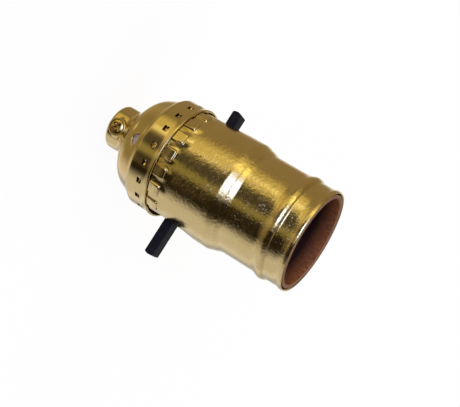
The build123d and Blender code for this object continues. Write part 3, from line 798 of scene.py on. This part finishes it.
class Nodes:
    """Short calls for a material's or world's node tree."""

    def __init__(self, tree):
        self.tree = tree
        tree.nodes.clear()

    def add(self, kind, **settings):
        node = self.tree.nodes.new(kind)
        for key, value in settings.items():
            setattr(node, key, value)
        return node

    def join(self, source, target):
        self.tree.links.new(source, target)

    def feed(self, socket, value):
        """Give a socket a link or a plain value."""
        if isinstance(value, bpy.types.NodeSocket):
            self.join(value, socket)
        else:
            socket.default_value = value

    def math(self, operation, *values):
        node = self.add("ShaderNodeMath", operation=operation)
        for socket, value in zip(node.inputs, values):
            self.feed(socket, value)
        return node.outputs[0]

    def parts_of(self, vector):
        """The X, Y and Z of a vector."""
        node = self.add("ShaderNodeSeparateXYZ")
        self.join(vector, node.inputs[0])
        return node.outputs

    def dot(self, first, second):
        node = self.add("ShaderNodeVectorMath", operation="DOT_PRODUCT")
        self.feed(node.inputs[0], first)
        self.feed(node.inputs[1], second)
        return node.outputs["Value"]

    def plus(self, first, second):
        node = self.add("ShaderNodeVectorMath", operation="ADD")
        self.feed(node.inputs[0], first)
        self.feed(node.inputs[1], second)
        return node.outputs[0]

    def scaled(self, vector, share):
        node = self.add("ShaderNodeVectorMath", operation="SCALE")
        self.feed(node.inputs[0], vector)
        self.feed(node.inputs["Scale"], share)
        return node.outputs[0]

    def noise(self, where, scale, detail, roughness):
        node = self.add("ShaderNodeTexNoise")
        self.feed(node.inputs["Vector"], where)
        node.inputs["Scale"].default_value = scale
        node.inputs["Detail"].default_value = detail
        node.inputs["Roughness"].default_value = roughness
        return node.outputs["Fac"]

    def span(self, value, low, high, to_low=0.0, to_high=1.0, smooth=False):
        """A value between low and high, carried over to another range."""
        node = self.add("ShaderNodeMapRange", clamp=True)
        if smooth:
            node.interpolation_type = "SMOOTHSTEP"
        names = ("Value", "From Min", "From Max", "To Min", "To Max")
        for name, part in zip(names, (value, low, high, to_low, to_high)):
            self.feed(node.inputs[name], part)
        return node.outputs["Result"]

    def blend(self, share, first, second):
        node = self.add("ShaderNodeMix", data_type="RGBA")
        self.feed(node.inputs[MIX_SHARE], share)
        self.feed(node.inputs[MIX_FIRST], first)
        self.feed(node.inputs[MIX_SECOND], second)
        return node.outputs[MIX_RESULT]

    def stretched(self, where, scale):
        node = self.add("ShaderNodeMapping")
        self.join(where, node.inputs["Vector"])
        node.inputs["Scale"].default_value = scale
        return node.outputs["Vector"]

    def bump(self, height, strength, distance):
        node = self.add("ShaderNodeBump")
        node.inputs["Strength"].default_value = strength
        node.inputs["Distance"].default_value = distance
        self.join(height, node.inputs["Height"])
        return node.outputs["Normal"]


def material(name):
    """New material with a shader and the object's own coordinates."""
    made = bpy.data.materials.new(name)
    made.use_nodes = True
    nodes = Nodes(made.node_tree)
    shader = nodes.add("ShaderNodeBsdfPrincipled")
    output = nodes.add("ShaderNodeOutputMaterial")
    nodes.join(shader.outputs[0], output.inputs["Surface"])
    where = nodes.add("ShaderNodeTexCoord").outputs["Object"]
    return made, nodes, shader, where


def brass_plate():
    """Polished brass plate; the shell's belly has a fine grain, and the pale non-metal flecks
    on it are painted highlights.
    """
    plain_tone = (0.68, 0.51, 0.2, 1)
    bright_tone = (0.72, 0.55, 0.23, 1)
    pit_tone = (0.42, 0.28, 0.08, 1)
    painted_glint_tone = (0.95, 0.76, 0.52, 1)
    polish = 0.12
    made, nodes, shader, where = material("brass_plate")
    place = nodes.parts_of(where)
    belly = nodes.span(place["Z"], 28 * MM, 34 * MM, 0.05, 1.0)
    grain = nodes.noise(where, scale=1050, detail=2, roughness=0.6)
    patches = nodes.noise(where, scale=160, detail=3, roughness=0.5)
    glint_noise = nodes.noise(where, scale=2300, detail=0, roughness=0.5)

    # Painted highlights: pale non-metal flecks stand in for glints, in patches on the upper
    # belly, away from the rod's sides
    glint_area = nodes.span(nodes.math("ABSOLUTE", place["X"]), 9 * MM, 3 * MM)
    glint_area = nodes.math("MULTIPLY", glint_area, nodes.span(patches, 0.4, 0.6))
    glint_area = nodes.math("MULTIPLY", glint_area, nodes.span(place["Z"], 36 * MM, 44 * MM))
    painted_glint = nodes.math("MULTIPLY", nodes.span(glint_noise, 0.66, 0.78, 0.0, 0.75), glint_area)
    pits = nodes.math("MULTIPLY", nodes.span(grain, 0.3, 0.42, 0.25, 0.0), belly)
    tone = nodes.blend(nodes.span(patches, 0.35, 0.65), plain_tone, bright_tone)
    tone = nodes.blend(pits, tone, pit_tone)
    # the painted highlights go over the tone and take metal away where they lie
    tone = nodes.blend(painted_glint, tone, painted_glint_tone)
    nodes.join(tone, shader.inputs["Base Color"])
    nodes.join(nodes.math("SUBTRACT", 1.0, painted_glint), shader.inputs["Metallic"])
    gloss = nodes.span(grain, 0.3, 0.7, 0.0, 0.1)
    rough = nodes.math("ADD", nodes.math("MULTIPLY", gloss, belly), polish)
    nodes.join(rough, shader.inputs["Roughness"])
    relief = nodes.math("MULTIPLY", grain, belly)
    bumps = nodes.bump(relief, strength=1.0, distance=0.06 * MM)
    nodes.join(bumps, shader.inputs["Normal"])
    return made


def inner_brass(name, tone, rough, ring_scale):
    """Turned or rolled metal with faint tool lines and a stain."""
    made, nodes, shader, where = material(name)
    drawn = nodes.stretched(where, (0.1, 0.1, 1))
    lines = nodes.noise(drawn, ring_scale, detail=3, roughness=0.6)
    stain = nodes.noise(where, scale=240, detail=3, roughness=0.6)
    dark = tuple(part * 0.7 for part in tone) + (1,)
    mixed = nodes.blend(nodes.span(stain, 0.35, 0.7), tone + (1,), dark)
    nodes.join(mixed, shader.inputs["Base Color"])
    shader.inputs["Metallic"].default_value = 1.0
    uneven = nodes.span(lines, 0.3, 0.7, rough - 0.06, rough + 0.08)
    nodes.join(uneven, shader.inputs["Roughness"])
    bumps = nodes.bump(lines, strength=0.15, distance=0.05 * MM)
    nodes.join(bumps, shader.inputs["Normal"])
    return made


def liner_board():
    """Pressed board: reddish brown with long fibres, paler at its cut edge, with painted shade
    darkening it deeper in the mouth.
    """
    dark_fibre = (0.13, 0.04, 0.012, 1)
    pale_fibre = (0.56, 0.2, 0.065, 1)
    cloud_tone = (0.37, 0.125, 0.036, 1)
    painted_shade_tone = (0.035, 0.012, 0.008, 1)
    cut_tone = (0.52, 0.28, 0.15, 1)
    cap_tone = (0.8, 0.61, 0.42, 1)
    made, nodes, shader, where = material("liner_board")
    height = nodes.parts_of(where)["Z"]
    drawn = nodes.stretched(where, (1, 1, 0.45))
    fibres = nodes.noise(drawn, scale=1500, detail=5, roughness=0.7)
    clouds = nodes.noise(where, scale=170, detail=3, roughness=0.6)
    tone = nodes.blend(nodes.span(fibres, 0.3, 0.7), dark_fibre, pale_fibre)
    tone = nodes.blend(nodes.span(clouds, 0.35, 0.7, 0.0, 0.5), tone, cloud_tone)
    # painted shade: the board goes dark further below the mouth, where the light does not reach
    tone = nodes.blend(nodes.span(height, 72.5 * MM, 68 * MM), tone, painted_shade_tone)
    tone = nodes.blend(nodes.span(height, 73.5 * MM, 73.7 * MM), tone, cut_tone)
    tone = nodes.blend(nodes.span(height, 18.8 * MM, 18.2 * MM), tone, cap_tone)
    nodes.join(tone, shader.inputs["Base Color"])
    nodes.join(nodes.span(fibres, 0.3, 0.7, 0.6, 0.85), shader.inputs["Roughness"])
    bumps = nodes.bump(fibres, strength=0.3, distance=0.12 * MM)
    nodes.join(bumps, shader.inputs["Normal"])
    shader.inputs["Specular IOR Level"].default_value = 0.12
    return made


def moulding(name, tone, rough, grain_scale, gloss=0.5):
    """Dark moulded plastic or fibre with a faint mottle and fine scuffs."""
    made, nodes, shader, where = material(name)
    mottle = nodes.noise(where, grain_scale, detail=3, roughness=0.6)
    drawn = nodes.stretched(where, (0.2, 1, 1))
    scuffs = nodes.noise(drawn, scale=900, detail=4, roughness=0.7)
    light = tuple(part * 1.7 + 0.004 for part in tone) + (1,)
    mixed = nodes.blend(nodes.span(mottle, 0.4, 0.75), tone + (1,), light)
    nodes.join(mixed, shader.inputs["Base Color"])
    uneven = nodes.span(scuffs, 0.35, 0.7, rough, rough + 0.14)
    nodes.join(uneven, shader.inputs["Roughness"])
    bumps = nodes.bump(mottle, strength=0.12, distance=0.08 * MM)
    nodes.join(bumps, shader.inputs["Normal"])
    shader.inputs["Specular IOR Level"].default_value = gloss
    return made


def all_materials():
    """One material for each slot of the record."""
    return {
        "brass_plate": brass_plate(),
        "turned_brass": inner_brass("turned_brass", (0.68, 0.5, 0.2), 0.28, 2200),
        "spring_brass": inner_brass("spring_brass", (0.74, 0.55, 0.26), 0.26, 1500),
        "screw_brass": inner_brass("screw_brass", (0.7, 0.5, 0.18), 0.22, 1800),
        "nickel_screw": inner_brass("nickel_screw", (0.68, 0.66, 0.62), 0.24, 1800),
        "spring_steel": inner_brass("spring_steel", (0.5, 0.5, 0.5), 0.3, 1500),
        "liner_board": liner_board(),
        "fibre": moulding("fibre", (0.2, 0.05, 0.03), 0.6, 500),
        "rod_plastic": moulding("rod_plastic", (0.017, 0.0155, 0.017), 0.4, 800, 0.06),
        "housing_moulding": moulding("housing_moulding", (0.03, 0.02, 0.016), 0.38, 300),
    }


def dress(made):
    """Give every solid and every new piece the material of its slot."""
    slot_of = {row["node"]: row["material_slot"] for row in frame["record"]["subparts"]}
    for node, item in frame["nodes"].items():
        item.data.materials.clear()
        item.data.materials.append(made[slot_of[node]])
    for item in bpy.context.scene.objects:
        name = item.get("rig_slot")
        if item.type == "MESH" and name:
            item.data.materials.clear()
            item.data.materials.append(made[name])


# Camera at the photograph's angle
SENSOR = 36.0
LENS = 70.98
CAMERA_PLACE = (17.143, -256.219, 137.986)
CAMERA_TURN = (-55.2798, -53.5767, 154.0565)


def make_camera():
    data = bpy.data.cameras.new("camera")
    data.sensor_width = SENSOR
    data.lens = LENS
    data.clip_start = 0.01
    item = bpy.data.objects.new("camera", data)
    bpy.context.collection.objects.link(item)
    item.location = Vector(CAMERA_PLACE) * MM
    item.rotation_euler = [radians(turn) for turn in CAMERA_TURN]
    bpy.context.scene.camera = item


# Soft boxes: azimuth, height, half width, half height, softness in degrees; colour; strength
LOW_BOXES = [
    # the pale table on one side, its near part and its far part
    (15, -5, 32, 46, 14, (0.82, 0.84, 1.0), 0.88),
    (34, -60, 16, 12, 9, (0.95, 0.9, 1.0), 0.4),
    (60, -5, 20, 55, 14, (0.82, 0.86, 1.0), 0.55),
    # the warm lamp, its bright lower part, a spot below it and its white middle
    (-139, 10, 21, 33, 10, (1.0, 0.86, 0.38), 0.78),
    (-131, -39, 16, 16, 9, (1.0, 0.84, 0.36), 0.72),
    (-121, -25, 5, 3, 3, (1.0, 1.0, 0.8), 0.6),
    (-136, -8, 5, 12, 3, (0.95, 1.0, 0.9), 0.7),
    # the warm wall behind the lamp
    (-205, -5, 48, 55, 14, (1.0, 0.79, 0.48), 0.31),
    # a dim strip between table and lamp, and a fainter one beside it
    (-75, -5, 8, 60, 6, (1.0, 0.9, 0.38), 0.3),
    (-98, -5, 14, 60, 10, (1.0, 0.95, 0.75), 0.05),
    # the pale background behind the object
    (96, -5, 20, 42, 12, (1.0, 1.0, 1.0), 0.75),
    # the warm ground below the collar, and a spot on it
    (-90, -90, 34, 34, 16, (1.0, 0.82, 0.45), 0.33),
    (-150, -79, 6, 4, 4, (1.0, 0.93, 0.55), 0.6),
    # a faint warm glow low in front
    (-82, -44, 34, 15, 5, (1.0, 0.8, 0.6), 0.12),
]
HIGH_BOXES = [
    # the white lamp beside the camera and the warm one next to it
    (-98, 18, 17, 7, 13, (0.5, 0.62, 1.3), 8.5),
    (-138, 18, 8, 8, 8, (1.0, 0.9, 0.45), 1.9),
    # a soft light overhead
    (-90, 90, 34, 34, 16, (1.0, 0.93, 0.8), 0.4),
    # a faint warm streak under the white lamp
    (-96, 3, 30, 3, 4, (1.0, 0.85, 0.4), 0.3),
]
ROOM_GLOW = (0.012, 0.009, 0.005)


def soft_box(nodes, way, azimuth, height, half_wide, half_high, soft, colour, strength):
    """Light of one soft box, seen in the direction way."""
    side = radians(azimuth)
    rise = radians(height)
    middle = (cos(side) * cos(rise), sin(side) * cos(rise), sin(rise))
    across = (-sin(side), cos(side), 0)
    upward = (-cos(side) * sin(rise), -sin(side) * sin(rise), cos(rise))
    ahead = nodes.dot(way, middle)
    shares = []
    for axis, half in ((across, half_wide), (upward, half_high)):
        turn = nodes.math("ARCTAN2", nodes.dot(way, axis), ahead)
        turn = nodes.math("ABSOLUTE", turn)
        shares.append(nodes.span(turn, radians(half + soft), radians(half - soft), smooth=True))
    share = nodes.math("MULTIPLY", *shares)
    return nodes.scaled(colour, nodes.math("MULTIPLY", share, strength))


def sum_of(nodes, way, boxes):
    """Sum of several soft boxes over a faint warm room."""
    room = nodes.add("ShaderNodeCombineXYZ")
    for socket, part in zip(room.inputs, ROOM_GLOW):
        socket.default_value = part
    total = room.outputs[0]
    for box in boxes:
        total = nodes.plus(total, soft_box(nodes, way, *box))
    return total


def make_world():
    """Plain dim room with soft boxes, white where the camera looks past the object."""
    world = bpy.data.worlds.new("studio")
    bpy.context.scene.world = world
    world.use_nodes = True
    nodes = Nodes(world.node_tree)
    way = nodes.add("ShaderNodeTexCoord").outputs["Generated"]
    fade = nodes.span(nodes.parts_of(way)["Z"], 0.0, 0.25, 1.0, 0.8)
    low = nodes.scaled(sum_of(nodes, way, LOW_BOXES), fade)
    room = nodes.add("ShaderNodeBackground")
    nodes.join(nodes.plus(low, sum_of(nodes, way, HIGH_BOXES)), room.inputs["Color"])
    white = nodes.add("ShaderNodeBackground")
    white.inputs["Color"].default_value = (1, 1, 1, 1)
    path = nodes.add("ShaderNodeLightPath")
    mix = nodes.add("ShaderNodeMixShader")
    nodes.join(path.outputs["Is Camera Ray"], mix.inputs["Fac"])
    nodes.join(room.outputs[0], mix.inputs[1])
    nodes.join(white.outputs[0], mix.inputs[2])
    output = nodes.add("ShaderNodeOutputWorld")
    nodes.join(mix.outputs[0], output.inputs["Surface"])


# Plain pale floor under the collar's end
FLOOR_HALF = 600
FLOOR_Z = -0.2
FLOOR_TONE = (0.3, 0.3, 0.3, 1)
FLOOR_GLOW = 0.88


def make_floor():
    """Floor that the camera sees nearly white, with the object's shadow kept."""
    signs = ((-1, -1), (1, -1), (1, 1), (-1, 1))
    corners = [(FLOOR_HALF * x, FLOOR_HALF * y, FLOOR_Z) for x, y in signs]
    item = mesh_object("floor", corners, [(0, 1, 2, 3)])
    made = bpy.data.materials.new("floor")
    made.use_nodes = True
    nodes = Nodes(made.node_tree)
    paint = nodes.add("ShaderNodeBsdfDiffuse")
    paint.inputs["Color"].default_value = FLOOR_TONE
    glow = nodes.add("ShaderNodeEmission")
    seen = nodes.add("ShaderNodeLightPath").outputs["Is Camera Ray"]
    nodes.join(nodes.math("MULTIPLY", seen, FLOOR_GLOW), glow.inputs["Strength"])
    both = nodes.add("ShaderNodeAddShader")
    nodes.join(paint.outputs[0], both.inputs[0])
    nodes.join(glow.outputs[0], both.inputs[1])
    output = nodes.add("ShaderNodeOutputMaterial")
    nodes.join(both.outputs[0], output.inputs["Surface"])
    item.data.materials.append(made)
    item.visible_glossy = False


make_shell()
make_cap()
make_boss()
make_moon_lip()
make_liner()
make_set_screw()
make_screw_shell()
make_bushing()
dress(all_materials())
make_camera()
make_world()
make_floor()
bpy.context.scene.view_settings.view_transform = "Standard"
